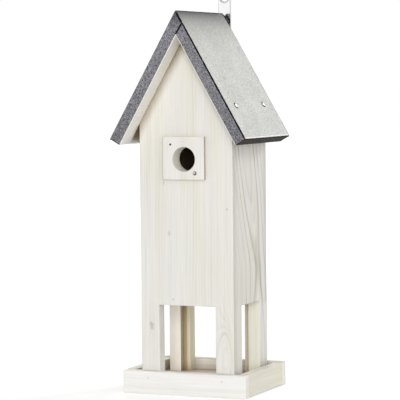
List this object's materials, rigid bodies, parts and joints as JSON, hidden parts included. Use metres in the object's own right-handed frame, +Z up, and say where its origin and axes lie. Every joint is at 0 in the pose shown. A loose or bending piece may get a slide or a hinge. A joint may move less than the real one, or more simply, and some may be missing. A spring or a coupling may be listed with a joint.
{
  "type": "bird nest box",
  "caption": "Tall slender bird nest box with a steep gabled roof and a round entrance, standing on legs in a shallow feeding tray.",
  "frame": {"origin": "on the floor, under the middle of the bounding box", "axes": "+X to the right as seen from the front, +Y to the back, +Z up; the entrance faces -Y"},
  "size_m": [0.1902, 0.1624, 0.5285],
  "materials": {
    "glazed_pine": "pine under a thin white glaze, matt, the grain showing",
    "roof_sheet": "pale grey sheet, satin, fine speckle, darker along the ridge",
    "edge_strip": "slate grey strip, matt and grainy",
    "strap_metal": "bright zinc-plated steel"
  },
  "bodies": {
    "root": {"back_wall": "glazed_pine", "eave_edge_left": "edge_strip", "eave_edge_right": "edge_strip", "entrance_plate": "glazed_pine", "front_wall": "glazed_pine", "hanging_strap": "strap_metal", "left_wall": "glazed_pine", "nest_floor": "glazed_pine", "right_wall": "glazed_pine", "roof_board_left": "glazed_pine", "roof_board_right": "glazed_pine", "roof_edge_back_left": "edge_strip", "roof_edge_back_right": "edge_strip", "roof_edge_front_left": "edge_strip", "roof_edge_front_right": "edge_strip", "roof_sheet_left": "roof_sheet", "roof_sheet_right": "roof_sheet", "tray_floor": "glazed_pine", "tray_rim_back": "glazed_pine", "tray_rim_front": "glazed_pine", "tray_rim_left": "glazed_pine", "tray_rim_right": "glazed_pine"}
  },
  "joints": []
}
